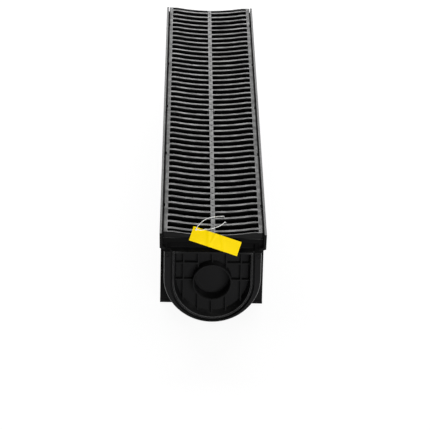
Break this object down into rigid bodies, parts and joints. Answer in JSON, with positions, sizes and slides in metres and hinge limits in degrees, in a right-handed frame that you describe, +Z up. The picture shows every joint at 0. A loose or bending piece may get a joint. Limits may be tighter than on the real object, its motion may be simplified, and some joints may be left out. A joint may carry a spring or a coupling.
{
  "type": "channel drain",
  "caption": "Straight round-bottomed drain channel with a dished slotted grate, a ribbed end cap with a knock-out pipe stub, and a blank hang tag on a string.",
  "frame": {"origin": "bottom centre of the channel, under its feet at mid-length", "axes": "+Z up, +Y along the channel away from the capped end, +X across it"},
  "size_m": [0.1494, 1.002, 0.1416],
  "materials": {
    "black_plastic": "black moulded polypropylene, fine moulding texture",
    "grate_plastic": "black moulded polypropylene, slightly worn on the bar tops",
    "cap_plastic": "black moulded polypropylene, satin",
    "screw_steel": "black coated steel screw",
    "zinc_steel": "zinc plated strip",
    "yellow_tag": "blank yellow film strip",
    "white_string": "thin white twine"
  },
  "bodies": {
    "root": {"channel_body": "black_plastic", "grate": "grate_plastic", "end_cap": "cap_plastic", "lock_screw": "screw_steel", "lock_bar": "zinc_steel", "hang_tag": "yellow_tag", "tag_string": "white_string", "tag_knot": "white_string"}
  },
  "joints": []
}
